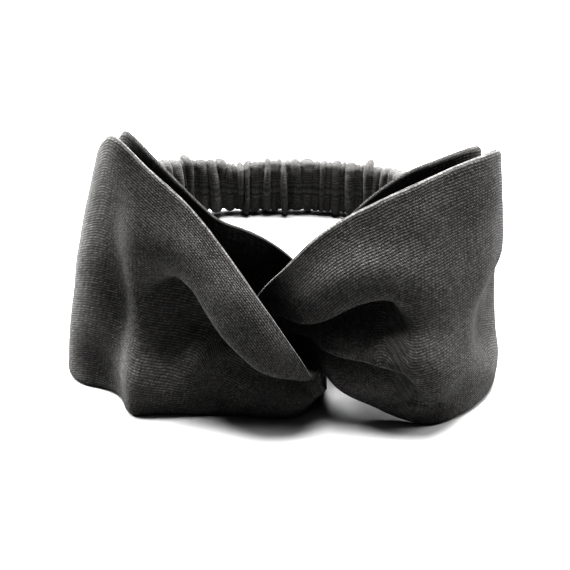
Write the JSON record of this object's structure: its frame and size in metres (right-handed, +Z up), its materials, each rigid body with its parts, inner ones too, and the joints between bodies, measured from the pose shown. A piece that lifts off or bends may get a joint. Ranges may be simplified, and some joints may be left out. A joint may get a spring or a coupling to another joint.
{
  "type": "knotted headband",
  "caption": "Wide linen headband of two interlocked fabric loops, knotted at the front and closed at the back by a gathered elastic.",
  "frame": {"origin": "centre of the footprint, on the surface that the headband's lower edges stand on", "axes": "+Z up, -Y towards the knot at the front, +Y towards the elastic at the back, +X to the right seen from the front"},
  "size_m": [0.1727, 0.157, 0.1037],
  "materials": {
    "linen": "matt charcoal plain-weave linen",
    "elastic": "matt black braided elastic",
    "thread": "charcoal sewing thread"
  },
  "bodies": {
    "right_half": {"right_loop": "linen", "elastic_casing": "linen", "elastic_band": "elastic", "casing_seam_stitching": "thread", "right_end_stitching": "thread", "right_elastic_tack": "thread", "right_loop_seam_stitching": "thread"},
    "left_half": {"left_loop": "linen", "left_end_stitching": "thread", "left_elastic_tack": "thread", "left_loop_seam_stitching": "thread"}
  },
  "joints": [
    {"name": "knot_hinge", "type": "hinge", "parent": "right_half", "child": "left_half", "pos_m": [0.002, -0.062, 0.04], "axis": [0, 0, 1], "range_deg": [-6, 20], "stiffness_Nm_per_rad": 1.1, "deforming": ["elastic_casing", "elastic_band", "casing_seam_stitching"]}
  ]
}
